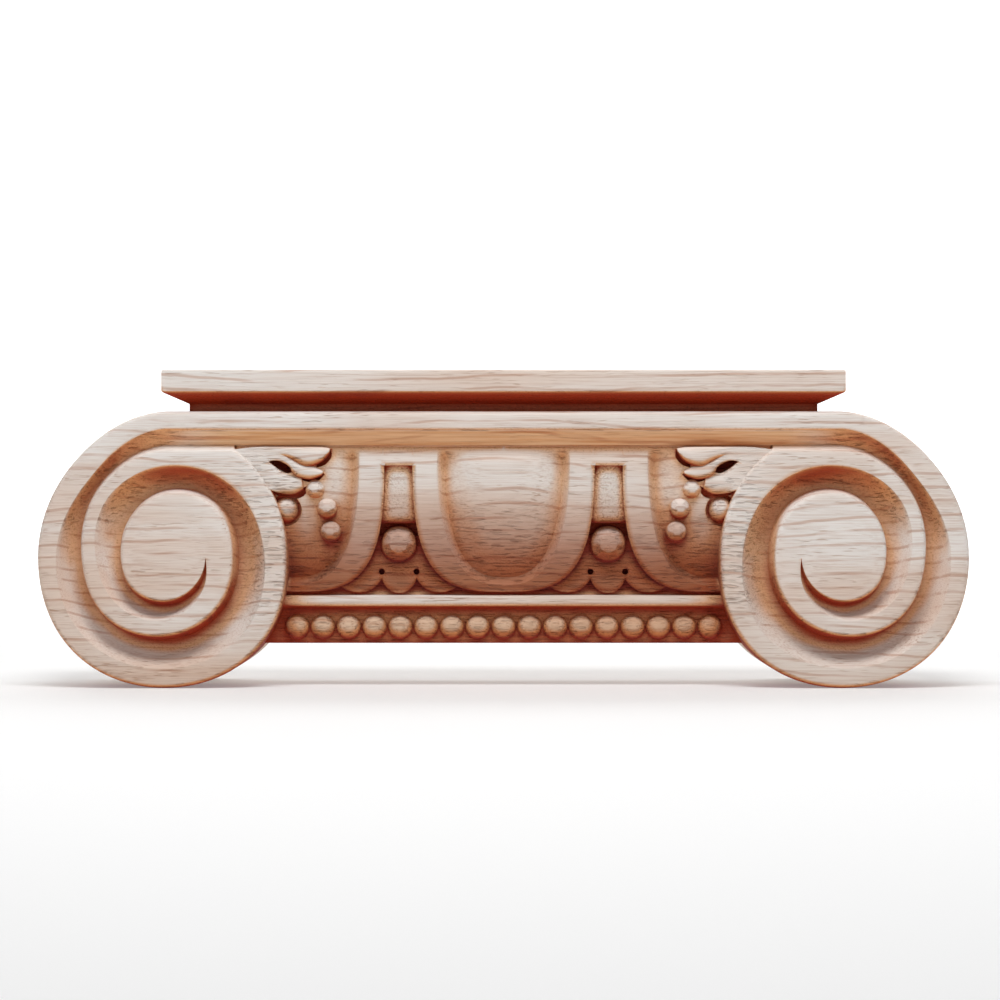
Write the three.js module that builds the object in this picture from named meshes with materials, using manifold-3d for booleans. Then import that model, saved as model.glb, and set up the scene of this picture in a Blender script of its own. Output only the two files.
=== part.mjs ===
// An Ionic pilaster capital carved from one block of pale hardwood, flat at the back.
// Millimetres. +X is to the right, +Z is up and the carved face looks along -Y. The origin is
// the centre of the flat underside that sits on the pilaster. Points of the carving are given
// as [x, depth, z], where depth is measured out from the flat back.

import * as THREE from "three";
import { mergeVertices } from "three/addons/utils/BufferGeometryUtils.js";
import Module from "manifold-3d";

// Overall sizes
const WIDTH = 212;
const SEAT_DEPTH = 19;
const BACK_Y = SEAT_DEPTH / 2;
const BODY_HALF_WIDTH = 66;
const BURIED = 12;

// Abacus: heights are above the pilaster seat
const ABACUS_TOP = 62.5;
const ABACUS_WIDTH = 155.2;
const ABACUS_DEPTH = 28;
const ABACUS_FILLET = 4.9;
const BEVEL_DROP = 2.6;
const BEVEL_SETBACK = 5.6;
const NECK_FOOT = 51.5;

// Scroll: the band across the top that winds into a volute at each end
const VOLUTE_CENTRE_Z = 20.1;
const VOLUTE_SQUEEZE = 0.973;
const RIDGE_DEPTH = 27;
const RIDGE_ROUND = 1.2;
const CHANNEL_DEPTH = 22.6;
const BAND_CHANNEL_DEPTH = 24.6;
const WALL_DRAFT = 0.8;
const CHANNEL_STEEPNESS = [1.1, 2.2];
const EYE_DEPTH = 27.6;
const EYE_DOME = 0.5;
const TIP_RADIUS = 9.6;
const LEVEL_EDGE = 24.6;
const STATIONS_PER_EIGHTH = 5;

// Radius of the ridge's outer edge at each eighth of a turn, wound down from the top
const OUTER_TURN = [33.1, 30.3, 29.8, 30.5, 29.9, 30.2, 28.6, 29.3, 29.8];
const INNER_TURNS = [
  24.6, 22.0, 19.6, 19.6, 18.3, 17.2, 16.1, 16.4, 14.6, 11.8, 10.3, 10.7, 10.4, 9.8, TIP_RADIUS,
];
// Radius of the ridge's inner edge at the same places, until the channel runs out
const INNER_EDGE = [
  29.0, 24.8, 25.2, 26.0, 25.2, 25.2, 23.2, 22.3, 20.4, 18.6, 15.9, 15.3, 14.3, 12.0, TIP_RADIUS,
];

// Egg-and-dart ovolo
const EGG_SPACING = 48;
const OVOLO_TOP = 44.8;
const OVOLO_TOP_DEPTH = 25.4;
const OVOLO_FOOT_DEPTH = 21.3;
const OVOLO_TOP_ROLL = 0.8;
const SHELL_HALF_WIDTH = 20.8;
const SHELL_FOOT = 11.8;
const EGG_RIM_HALF_WIDTH = 15.2;
const EGG_RIM_FOOT = 13.4;
const EGG_HALF_WIDTH = 13.5;
const EGG_FOOT = 15.2;
const EGG_GROOVE = 2.0;
const EGG_CROWN = 0.4;
const SHELL_SQUARENESS = 3.2;
const EGG_SQUARENESS = 2.6;

// Dart, ball and three-lobed foot between two eggs
const GROUND_DEPTH = 19.8;
const SLOT_TOP = 40.9;
const SHAFT_FOOT = 27.7;
const SHAFT_TOP_HALF = 3.4;
const SHAFT_FOOT_HALF = 4.1;
const SHAFT_EDGE_DROP = 0.9;
const BALL_RADIUS = 4.3;
const BALL_FACET = 1.9;
const BALL_CENTRE_Z = 22.9;
const BALL_CENTRE_DEPTH = 20.4;
const FOOT_DEPTH = 21.0;
const FOOT_BOTTOM = 11.6;
const CUSP_X = 4.0;
const CUSP_Z = 14.8;
const DRILL_RADIUS = 0.7;
const DRILL_Z = 16.5;
const DRILL_DEPTH = 18.8;

// Fillet and bead course at the foot
const FILLET_TOP = 11.1;
const FILLET_FOOT = 8.5;
const FILLET_DEPTH = 21.6;
const BEAD_COUNT = 17;
const BEAD_PITCH = 5.95;
const BEAD_RADIUS = 2.9;
const BEAD_CENTRE_Z = 3.75;
const BEAD_CENTRE_DEPTH = 18.6;

// Leaf and berries that cover each outer egg
const LEAF_DEPTH = 26.9;
const LEAF_ROOT_DEPTH = 26.3;
const BERRY_RADIUS = 2.35;
const BERRY_CENTRE_DEPTH = 24.1;
const BUD_RADIUS = 3.1;
const BUD_CENTRE_DEPTH = 22.7;
const BUD_GROOVE = 0.55;
const GOUGE_DEPTH = 23.6;
const EYELET_DEPTH = 20.5;

const wasm = await Module();
wasm.setup();

const TURN = 2 * Math.PI;
const mix = (a, b, t) => a + (b - a) * t;
const clamp = (t) => Math.min(Math.max(t, 0), 1);
const smooth = (t) => clamp(t) ** 2 * (3 - 2 * clamp(t));

// A smooth curve through evenly spaced values, read at a fractional place.
function curveThrough(values, place) {
  const last = values.length - 1;
  const i = Math.min(Math.max(Math.floor(place), 0), last - 1);
  const at = (k) => values[Math.min(Math.max(k, 0), last)];
  const t = place - i;
  const startSlope = (at(i + 1) - at(i - 1)) / 2;
  const endSlope = (at(i + 2) - at(i)) / 2;
  const startPart = (2 * t ** 3 - 3 * t ** 2 + 1) * at(i) + (t ** 3 - 2 * t ** 2 + t) * startSlope;
  const endPart = (3 * t ** 2 - 2 * t ** 3) * at(i + 1) + (t ** 3 - t ** 2) * endSlope;
  return startPart + endPart;
}

function solid(vertices, faces) {
  const vertProperties = new Float32Array(vertices);
  const triVerts = new Uint32Array(faces);
  return new wasm.Manifold(new wasm.Mesh({ numProp: 3, vertProperties, triVerts }));
}

// A three.js geometry, already in the part's frame, as a solid.
function solidOf(geometry) {
  const bare = new THREE.BufferGeometry();
  bare.setAttribute("position", geometry.getAttribute("position"));
  if (geometry.index) bare.setIndex(geometry.index);
  const merged = mergeVertices(bare, 1e-4);
  return solid(merged.getAttribute("position").array, merged.index.array);
}

// A carved surface given as grids of [x, depth, z] points, closed by straight walls back to a
// flat base. Places where rows, columns or grids share points are joined.
function relief(grids, base = BURIED) {
  const points = [];
  const indexOf = new Map();
  const front = [];
  function indexAt(point) {
    const key = point.map((value) => Math.round(value * 1e3)).join();
    if (!indexOf.has(key)) {
      indexOf.set(key, points.length);
      points.push(point);
    }
    return indexOf.get(key);
  }
  for (const columns of grids) {
    const index = columns.map((column) => column.map(indexAt));
    for (let i = 0; i < index.length - 1; i++) {
      for (let j = 0; j < index[i].length - 1; j++) {
        const a = index[i][j];
        const b = index[i + 1][j];
        const c = index[i + 1][j + 1];
        const d = index[i][j + 1];
        front.push([a, b, c], [a, c, d]);
      }
    }
  }
  const skin = front.filter(([a, b, c]) => a !== b && b !== c && c !== a);
  const edges = new Set(skin.flatMap(([a, b, c]) => [`${a},${b}`, `${b},${c}`, `${c},${a}`]));
  const count = points.length;
  const walls = [...edges]
    .map((edge) => edge.split(",").map(Number))
    .filter(([a, b]) => !edges.has(`${b},${a}`))
    .flatMap(([a, b]) => [[b, a, a + count], [b, a + count, b + count]]);
  const back = skin.map(([a, b, c]) => [c + count, b + count, a + count]);
  const faces = [...skin, ...walls, ...back];
  const place = ([x, depth, z]) => new THREE.Vector3(x, BACK_Y - depth, z);
  const corners = [...points, ...points.map(([x, , z]) => [x, base, z])].map(place);
  const volume = faces.reduce(
    (sum, [a, b, c]) => sum + corners[a].dot(corners[b].clone().cross(corners[c])),
    0,
  );
  const outward = volume < 0 ? faces.map(([a, b, c]) => [a, c, b]) : faces;
  return solid(corners.flatMap((corner) => corner.toArray()), outward.flat());
}

// A moulding: a profile of [depth, z] points run along X.
function moulding(profile, halfLength) {
  const shape = new THREE.Shape(profile.map(([depth, z]) => new THREE.Vector2(BACK_Y - depth, z)));
  const geometry = new THREE.ExtrudeGeometry(shape, { depth: 2 * halfLength, bevelEnabled: false });
  const toPart = new THREE.Matrix4().set(0, 0, 1, -halfLength, 1, 0, 0, 0, 0, 1, 0, 0, 0, 0, 0, 1);
  return solidOf(geometry.applyMatrix4(toPart));
}

// A flat piece: an outline of [x, z] points between two depths.
function plate(outline, from, to) {
  const shape = new THREE.Shape(outline.map(([x, z]) => new THREE.Vector2(x, z)));
  const geometry = new THREE.ExtrudeGeometry(shape, { depth: to - from, bevelEnabled: false });
  const toPart = new THREE.Matrix4().set(1, 0, 0, 0, 0, 0, -1, BACK_Y - from, 0, 1, 0, 0, 0, 0, 0, 1);
  return solidOf(geometry.applyMatrix4(toPart));
}

// A turned boss standing out of the carving: a profile of [radius, depth] points.
function boss(x, z, profile, around) {
  const points = profile.map(([radius, depth]) => new THREE.Vector2(radius, depth - BACK_Y));
  const geometry = new THREE.LatheGeometry(points, around);
  return solidOf(geometry.rotateX(Math.PI).translate(x, 0, z));
}

function ball(x, depth, z, radius, around, rings) {
  const geometry = new THREE.SphereGeometry(radius, around, rings);
  return solidOf(geometry.translate(x, BACK_Y - depth, z));
}

// Abacus: a square fillet over a bevel and a short neck, returned at both ends.
function abacus() {
  const filletFoot = ABACUS_TOP - ABACUS_FILLET;
  const neckTop = filletFoot - BEVEL_DROP;
  const half = ABACUS_WIDTH / 2;
  const levels = [
    [NECK_FOOT, half - BEVEL_SETBACK, ABACUS_DEPTH - BEVEL_SETBACK],
    [neckTop, half - BEVEL_SETBACK, ABACUS_DEPTH - BEVEL_SETBACK],
    [filletFoot, half, ABACUS_DEPTH],
    [ABACUS_TOP, half, ABACUS_DEPTH],
  ];
  const vertices = levels.flatMap(([z, x, depth]) => {
    const front = BACK_Y - depth;
    return [-x, front, z, x, front, z, x, BACK_Y, z, -x, BACK_Y, z];
  });
  const faces = [0, 2, 1, 0, 3, 2];
  for (let level = 0; level < levels.length - 1; level++) {
    for (let side = 0; side < 4; side++) {
      const a = 4 * level + side;
      const b = 4 * level + ((side + 1) % 4);
      faces.push(a, b, b + 4, a, b + 4, a + 4);
    }
  }
  const top = 4 * (levels.length - 1);
  faces.push(top, top + 1, top + 2, top, top + 2, top + 3);
  return solid(vertices, faces);
}

// Scroll. Stations count eighths of a turn from the top of the volute: the first turn is the
// outside, the next winds in to the eye and the last ends at the tip beside the eye.
const FULL = 8 * STATIONS_PER_EIGHTH;
const EYE_STATION = 14 * STATIONS_PER_EIGHTH;
const TIP_STATION = 22 * STATIONS_PER_EIGHTH;

function edgeRadius(station) {
  const eighths = station / STATIONS_PER_EIGHTH;
  if (station >= FULL) return curveThrough(INNER_TURNS, eighths - 8);
  const round = curveThrough(OUTER_TURN, eighths);
  const short = ((FULL - station) / FULL) * TURN;
  return short < TURN / 6 ? Math.min(round, LEVEL_EDGE / Math.cos(short)) : round;
}

const VOLUTE_CENTRE_X = -WIDTH / 2 + edgeRadius(2 * STATIONS_PER_EIGHTH) * VOLUTE_SQUEEZE;

function onVolute(station, radius, depth, lift = 0) {
  const angle = (station / FULL) * TURN;
  const x = VOLUTE_CENTRE_X - radius * Math.sin(angle) * VOLUTE_SQUEEZE;
  return [x, depth, VOLUTE_CENTRE_Z + radius * Math.cos(angle) + lift];
}

function isLevel(station) {
  const short = ((FULL - station) / FULL) * TURN;
  const reach = edgeRadius(station) * Math.cos(short);
  return short > 0 && short < TURN / 6 && reach > LEVEL_EDGE - 1e-6;
}

const ridgeDepth = (station) =>
  mix(RIDGE_DEPTH, EYE_DEPTH, smooth((station - FULL) / (EYE_STATION - FULL)));

const channelDepth = (station) => {
  if (station < FULL) {
    return mix(BAND_CHANNEL_DEPTH, CHANNEL_DEPTH, smooth(station / STATIONS_PER_EIGHTH / 2));
  }
  const spent = clamp((station - FULL) / (EYE_STATION - FULL));
  return mix(CHANNEL_DEPTH, ridgeDepth(station + FULL), spent ** 2.5);
};

function wallFoot(station) {
  const radius = edgeRadius(station);
  const draft = WALL_DRAFT * clamp((TIP_STATION - station) / STATIONS_PER_EIGHTH);
  if (station >= FULL) return onVolute(station, radius + draft, channelDepth(station - FULL));
  if (isLevel(station)) return onVolute(station, radius, BAND_CHANNEL_DEPTH, draft);
  return onVolute(station, radius, ridgeDepth(station) - RIDGE_ROUND);
}

// The ridge's rounded outer edge, from the foot of its wall to its flat.
function ridgeEdge(station, round) {
  const radius = edgeRadius(station);
  const depth = ridgeDepth(station);
  return [
    wallFoot(station),
    onVolute(station, radius - 0.3 * round, depth - 0.3 * round),
    onVolute(station, radius - round, depth),
  ];
}

function channelColumn(station) {
  const eighths = station / STATIONS_PER_EIGHTH;
  const inner = curveThrough(INNER_EDGE, eighths);
  const [footX, footDepth, footZ] = wallFoot(station + FULL);
  const [ridgeX, top, ridgeZ] = onVolute(station, inner, ridgeDepth(station));
  const steepness = mix(...CHANNEL_STEEPNESS, smooth(eighths));
  const hollow = [0, 1 / 3, 2 / 3, 1].map((t) => [
    mix(ridgeX, footX, t),
    mix(top, footDepth, 1 - (1 - t) ** steepness),
    mix(ridgeZ, footZ, t),
  ]);
  return [...ridgeEdge(station, RIDGE_ROUND), ...hollow];
}

function eyeColumn(station) {
  const along = (station - EYE_STATION) / (TIP_STATION - EYE_STATION);
  const rim = TIP_RADIUS - Math.sin(along * Math.PI);
  const round = Math.min(RIDGE_ROUND, 0.6 * (edgeRadius(station) - rim));
  const dome = [
    onVolute(station, rim, EYE_DEPTH),
    onVolute(station % FULL, 0.7 * TIP_RADIUS, EYE_DEPTH + 0.5 * EYE_DOME),
    onVolute(station % FULL, 0.35 * TIP_RADIUS, EYE_DEPTH + 0.9 * EYE_DOME),
    onVolute(0, 0, EYE_DEPTH + EYE_DOME),
  ];
  return [...ridgeEdge(station, round), ...dome];
}

function leftScroll() {
  const eye = [];
  for (let station = TIP_STATION; station >= EYE_STATION; station--) eye.push(eyeColumn(station));
  const tip = onVolute(EYE_STATION, TIP_RADIUS, EYE_DEPTH);
  const winding = [[...ridgeEdge(EYE_STATION, RIDGE_ROUND), tip, tip, tip, tip]];
  for (let station = EYE_STATION - 1; station >= 0; station--) winding.push(channelColumn(station));
  // Along the band, with a column at each point of the level edge below it.
  const top = channelColumn(0);
  const places = [];
  for (let station = FULL - 1; isLevel(station); station--) places.push(wallFoot(station)[0]);
  for (const x of [...places, 0]) winding.push(top.map(([, depth, z]) => [x, depth, z]));
  return relief([eye, winding], 0);
}

// The field between the volutes, bounded along the middle of each outer ridge.
function field() {
  const inset = 2;
  const left = [];
  for (let station = FULL - 5; station > 4.8 * STATIONS_PER_EIGHTH; station--) {
    const [x, , z] = onVolute(station, edgeRadius(station) - inset, 0);
    left.push([x, z]);
  }
  const [footX] = left[left.length - 1];
  const cornerX = -EGG_SPACING - 13;
  const outline = [[cornerX, ABACUS_TOP], [cornerX, OVOLO_TOP - 1.6], ...left, [footX, -20]];
  const right = outline.map(([x, z]) => [-x, z]).reverse();
  return plate([...outline, ...right], -1, ABACUS_DEPTH + 10);
}

// Body behind the carving: bead ground, fillet, ovolo ground and the strip above the eggs.
function body() {
  return moulding(
    [
      [0, 0],
      [SEAT_DEPTH, 0],
      [SEAT_DEPTH, FILLET_FOOT - 0.6],
      [FILLET_DEPTH - 0.5, FILLET_FOOT],
      [FILLET_DEPTH, FILLET_FOOT + 0.6],
      [FILLET_DEPTH, FILLET_TOP - 0.7],
      [FILLET_DEPTH - 0.6, FILLET_TOP],
      [GROUND_DEPTH, FILLET_TOP],
      [GROUND_DEPTH, SLOT_TOP + 1],
      [CHANNEL_DEPTH - 0.4, SLOT_TOP + 1],
      [CHANNEL_DEPTH - 0.4, OVOLO_TOP + 2],
      [0, OVOLO_TOP + 2],
    ],
    BODY_HALF_WIDTH,
  );
}

function ovoloDepth(z) {
  const up = clamp((z - SHELL_FOOT) / (OVOLO_TOP - SHELL_FOOT));
  const swell = mix(OVOLO_FOOT_DEPTH, OVOLO_TOP_DEPTH, Math.sin((up * TURN) / 4) ** 0.85);
  return swell - OVOLO_TOP_ROLL * smooth((z - OVOLO_TOP + 3.5) / 3.5);
}

// An egg in its shell, hung from the top edge of the ovolo.
function egg(centreX) {
  const around = 18;
  const rings = [
    [EGG_HALF_WIDTH * 0.45, mix(OVOLO_TOP, EGG_FOOT, 0.45), EGG_SQUARENESS, EGG_CROWN - 0.25],
    [EGG_HALF_WIDTH * 0.8, mix(OVOLO_TOP, EGG_FOOT, 0.8), EGG_SQUARENESS, EGG_CROWN - 1.2],
    [EGG_HALF_WIDTH, EGG_FOOT, EGG_SQUARENESS, -EGG_GROOVE],
    [EGG_RIM_HALF_WIDTH, EGG_RIM_FOOT, EGG_SQUARENESS, 0],
    [SHELL_HALF_WIDTH, SHELL_FOOT, SHELL_SQUARENESS, 0],
  ];
  const columns = [];
  for (let i = 0; i <= around; i++) {
    const angle = (i / around) * Math.PI;
    const across = Math.cos(angle);
    const down = Math.sin(angle);
    const column = rings.map(([half, foot, squareness, raise]) => {
      const x = centreX + half * Math.sign(across) * Math.abs(across) ** (2 / squareness);
      const z = OVOLO_TOP - (OVOLO_TOP - foot) * Math.abs(down) ** (2 / squareness);
      return [x, ovoloDepth(z) + raise, z];
    });
    columns.push([[centreX, ovoloDepth(OVOLO_TOP) + EGG_CROWN, OVOLO_TOP], ...column]);
  }
  const tucked = (column) => column.map(([x]) => [x, BAND_CHANNEL_DEPTH - 1, OVOLO_TOP + 1.2]);
  return relief([[tucked(columns[0]), ...columns, tucked(columns[around])]]);
}

// Dart shaft, faceted ball, foot with three lobes, and the plain strip over the slot.
function dart(centreX) {
  const shaftRows = [SLOT_TOP + 0.5, SLOT_TOP, (SLOT_TOP + SHAFT_FOOT) / 2, SHAFT_FOOT + 0.8, SHAFT_FOOT];
  const shaft = [-1, -0.7, -0.3, 0.3, 0.7, 1].map((across) =>
    shaftRows.map((z) => {
      const half = mix(SHAFT_FOOT_HALF, SHAFT_TOP_HALF, (z - SHAFT_FOOT) / (SLOT_TOP - SHAFT_FOOT));
      const end = z === SHAFT_FOOT ? 0.7 : 0;
      const x = centreX + across * half;
      return [x, ovoloDepth(z) - 0.4 - SHAFT_EDGE_DROP * Math.abs(across) ** 2.5 - end, z];
    }),
  );
  const stripHalf = EGG_SPACING / 2 - SHELL_HALF_WIDTH + 0.7;
  const stripRows = [
    [BAND_CHANNEL_DEPTH - 1, OVOLO_TOP + 1.2],
    [ovoloDepth(OVOLO_TOP), OVOLO_TOP],
    [ovoloDepth(SLOT_TOP + 2), SLOT_TOP + 2],
    [ovoloDepth(SLOT_TOP), SLOT_TOP],
  ];
  const strip = [-stripHalf, stripHalf].map((x) =>
    stripRows.map(([depth, z]) => [centreX + x, depth, z]),
  );
  const facet = BALL_CENTRE_DEPTH + Math.sqrt(BALL_RADIUS ** 2 - BALL_FACET ** 2);
  const ballProfile = [[0, BURIED], [BALL_RADIUS, BURIED], [BALL_RADIUS, BALL_CENTRE_DEPTH]];
  for (const tilt of [0.35, 0.7]) {
    const angle = (tilt * TURN) / 4;
    ballProfile.push([
      BALL_RADIUS * Math.cos(angle),
      BALL_CENTRE_DEPTH + BALL_RADIUS * Math.sin(angle),
    ]);
  }
  ballProfile.push([BALL_FACET * 0.9, facet], [0, facet]);
  const lobes = [
    [0, FOOT_BOTTOM],
    [1.7, FOOT_BOTTOM + 0.4],
    [3.1, FOOT_BOTTOM + 1.4],
    [CUSP_X, CUSP_Z],
    [5.2, FOOT_BOTTOM + 1.7],
    [7.0, FOOT_BOTTOM + 0.5],
    [9.2, FOOT_BOTTOM + 0.1],
    [11.6, FOOT_BOTTOM + 0.4],
    [13.6, FOOT_BOTTOM + 1.6],
    [10.6, FOOT_BOTTOM + 4.4],
    [8.6, FOOT_BOTTOM + 6.9],
    [6.4, FOOT_BOTTOM + 10.4],
    [5.2, FOOT_BOTTOM + 13.2],
  ];
  const mirrored = lobes.slice(1).reverse().map(([x, z]) => [-x, z]);
  const outline = [...mirrored, ...lobes].map(([x, z]) => [centreX + x, z]);
  const drills = [-CUSP_X, CUSP_X].map((x) => {
    const drill = new THREE.CylinderGeometry(DRILL_RADIUS, DRILL_RADIUS, 12, 8);
    drill.translate(centreX + x, BACK_Y - DRILL_DEPTH - 6, DRILL_Z);
    return solidOf(drill);
  });
  return {
    solids: [
      relief([shaft]),
      relief([strip]),
      boss(centreX, BALL_CENTRE_Z, ballProfile, 12),
      plate(outline, BURIED, FOOT_DEPTH),
    ],
    drills,
  };
}

// A place on the left outer egg, from its centre line and the top edge of the ovolo.
const onEgg = ([x, z]) => [x - EGG_SPACING, z + OVOLO_TOP];

// A petal between two edges of places on the egg. Its root is flat, and from there it rises or
// falls to its tip while its edges drop away.
function petal(upper, lower, tipDepth, drop) {
  const columns = upper.map((point, i) => {
    const free = smooth((2.5 * i) / (upper.length - 1) - 0.75);
    const [upX, upZ] = onEgg(point);
    const [lowX, lowZ] = onEgg(lower[i]);
    return [0, 0.15, 0.5, 0.85, 1].map((across) => [
      mix(upX, lowX, across),
      mix(LEAF_ROOT_DEPTH, tipDepth, free) - drop * free * Math.abs(2 * across - 1) ** 3,
      mix(upZ, lowZ, across),
    ]);
  });
  return relief([columns]);
}

// A cut with straight sides down to a depth, inside an outline of places on the egg.
const sunk = (outline, depth) => plate(outline.map(onEgg), depth, ABACUS_DEPTH + 10);

function leftLeaf() {
  const top = petal(
    [[-14, 0.3], [-10, 0.3], [-6.8, 0.3], [-2.6, 0.3], [0.8, 0.3], [4.2, 0.3], [7, 0.2], [8.5, -0.1]],
    [
      [-14, -3], [-9.6, -2.8], [-6.2, -2.4], [-2.9, -1.7],
      [-0.5, -2.4], [3, -4.1], [6.4, -3.2], [8.3, -1.3],
    ],
    LEAF_DEPTH,
    1,
  );
  const middle = petal(
    [
      [-13, -1], [-9.5, -0.8], [-6.2, -0.6], [-3.2, -0.9],
      [-0.7, -2.1], [2.6, -3.8], [4.8, -4.1], [6.9, -5.2],
    ],
    [[-13, -4], [-9.3, -3.8], [-6, -3.4], [-3.4, -3], [-1.2, -4.1], [0.6, -6.3], [3.8, -7.1], [6.7, -6.2]],
    LEAF_DEPTH - 0.4,
    0.8,
  );
  const low = petal(
    [[-11.5, -3.2], [-8.5, -3.1], [-5.6, -3.2], [-4, -4.3], [-2.6, -5.2], [-0.6, -5.8], [1.9, -6.5]],
    [[-9.4, -8.6], [-7, -9.2], [-4.9, -9.6], [-3.4, -10.1], [-1.6, -10.5], [0.4, -10.4], [2.4, -9.4]],
    LEAF_DEPTH - 0.9,
    0.8,
  );
  const berries = [[5, -9.3], [7.7, -13.7], [8.5, -19]].map(onEgg).map(([x, z]) =>
    ball(x, BERRY_CENTRE_DEPTH, z, BERRY_RADIUS, 10, 6),
  );
  const budPlace = [-1.7, -14.1];
  const [budX, budZ] = onEgg(budPlace);
  const bud = ball(budX, BUD_CENTRE_DEPTH, budZ, BUD_RADIUS, 12, 8);
  const eyelet = sunk(
    [
      [-5.4, -2.95], [-4.2, -4.1], [-2.8, -5.1], [-1.4, -5.7],
      [-0.3, -5.5], [-0.6, -4.4], [-1.8, -3.5], [-3.5, -2.8],
    ],
    EYELET_DEPTH,
  );
  // Gouge cuts in the egg: one under the tip of each petal and one round the bud.
  const underTop = [
    [8.5, -0.2], [8.8, -1.7], [8.2, -2.9], [7.1, -3.9], [5.4, -4.4], [5.4, -3], [7.4, -2],
  ];
  const underMiddle = [
    [2, -6.4], [2.4, -7.4], [4.6, -7.8], [6.1, -7.2], [7.2, -6], [6, -5.8], [4, -6.4],
  ];
  const roundBud = [];
  for (let i = 0; i < 16; i++) {
    const angle = (i / 16) * TURN;
    const reach = BUD_RADIUS + BUD_GROOVE;
    roundBud.push([budPlace[0] + reach * Math.cos(angle), budPlace[1] + reach * Math.sin(angle)]);
  }
  const underLow = [
    [-4.6, -9.4], [-4.2, -10.4], [-1.8, -11.5], [0.7, -11.6],
    [2.7, -10.7], [3.4, -9], [2, -8.6], [0, -9.8],
  ];
  const gouges = [underTop, underMiddle, underLow, roundBud].map((outline) => sunk(outline, GOUGE_DEPTH));
  return { solids: [top, middle, low, bud, ...berries], eyelet, gouges };
}

function beads() {
  const course = [];
  for (let i = 0; i < BEAD_COUNT; i++) {
    const x = (i - (BEAD_COUNT - 1) / 2) * BEAD_PITCH;
    course.push(ball(x, BEAD_CENTRE_DEPTH, BEAD_CENTRE_Z, BEAD_RADIUS, 10, 6));
  }
  return course;
}

const darts = [-EGG_SPACING / 2, EGG_SPACING / 2].map(dart);
const leaf = leftLeaf();
const leftGouges = wasm.Manifold.union(leaf.gouges);
const eggs = wasm.Manifold.union([-EGG_SPACING, 0, EGG_SPACING].map(egg));
const carved = wasm.Manifold.union([
  eggs.subtract(leftGouges).subtract(leftGouges.mirror([1, 0, 0])),
  ...darts.flatMap(({ solids }) => solids),
  ...beads(),
]);
const middle = body().add(carved.intersect(field()));
const drilled = middle.subtract(wasm.Manifold.union(darts.flatMap(({ drills }) => drills)));

const scroll = leftScroll();
const leaves = wasm.Manifold.union(leaf.solids);
const whole = wasm.Manifold.union([
  drilled,
  abacus(),
  scroll,
  scroll.mirror([1, 0, 0]),
  leaves,
  leaves.mirror([1, 0, 0]),
]);
const eyelets = leaf.eyelet.add(leaf.eyelet.mirror([1, 0, 0]));
const capitalSolid = whole.subtract(eyelets);

const { vertProperties, triVerts } = capitalSolid.getMesh();
const geometry = new THREE.BufferGeometry();
geometry.setAttribute("position", new THREE.BufferAttribute(vertProperties, 3));
geometry.setIndex(new THREE.BufferAttribute(triVerts, 1));
geometry.computeVertexNormals();

const wood = new THREE.MeshStandardMaterial({ color: 0xc6a38d, roughness: 0.75, metalness: 0 });
wood.name = "carved_wood";
const capital = new THREE.Mesh(geometry, wood);
capital.name = "capital";

const group = new THREE.Group();
group.name = "ionic_capital";
group.add(capital);

export default group;
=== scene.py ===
import math

import bpy
import numpy as np
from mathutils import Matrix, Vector
from mathutils.bvhtree import BVHTree


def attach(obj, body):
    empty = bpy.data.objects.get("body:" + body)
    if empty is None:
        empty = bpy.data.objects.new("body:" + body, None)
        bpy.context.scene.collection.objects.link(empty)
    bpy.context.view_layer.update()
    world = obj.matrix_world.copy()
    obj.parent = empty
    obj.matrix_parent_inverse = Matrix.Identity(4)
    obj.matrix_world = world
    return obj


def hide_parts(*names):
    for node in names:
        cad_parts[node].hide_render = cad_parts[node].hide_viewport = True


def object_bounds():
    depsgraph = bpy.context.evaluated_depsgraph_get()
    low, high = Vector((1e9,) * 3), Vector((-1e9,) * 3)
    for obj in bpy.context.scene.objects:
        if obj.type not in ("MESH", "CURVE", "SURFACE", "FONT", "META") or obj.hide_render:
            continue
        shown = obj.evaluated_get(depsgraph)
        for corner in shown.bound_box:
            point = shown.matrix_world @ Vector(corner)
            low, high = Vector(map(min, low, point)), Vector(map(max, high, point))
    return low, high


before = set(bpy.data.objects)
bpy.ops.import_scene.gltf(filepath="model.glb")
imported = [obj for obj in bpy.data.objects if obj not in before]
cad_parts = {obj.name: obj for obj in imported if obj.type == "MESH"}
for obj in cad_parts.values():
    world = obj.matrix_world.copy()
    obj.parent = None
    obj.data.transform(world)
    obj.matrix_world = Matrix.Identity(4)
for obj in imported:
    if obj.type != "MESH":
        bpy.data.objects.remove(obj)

cad_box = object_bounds()


# Studio. The capital stands on a plain pale floor that sweeps up behind it, under broad soft light
# from above. The camera is level with the carving and square to it.
FLOOR_SIZE = 4
FLOOR_MIDDLE_Y = -1.5
FLOOR_RUN_BEHIND = 2.2
BACKDROP_HEIGHT = 2.5
BRIGHTER_BEHIND = (1.52, 2.1)
FLOOR_GLOW = (0.22, 0.22, 0.22, 1)
BACKDROP_GLOW = (0.8, 0.8, 0.8, 1)
PHOTO_SCALE = 0.212 / 933
PHOTO_PIXELS = 1000
SCALED_PLANE_Y = -0.0173
CAMERA_DISTANCE = 0.48
CAMERA_HEIGHT = 0.033
SENSOR_WIDTH = 36

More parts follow.
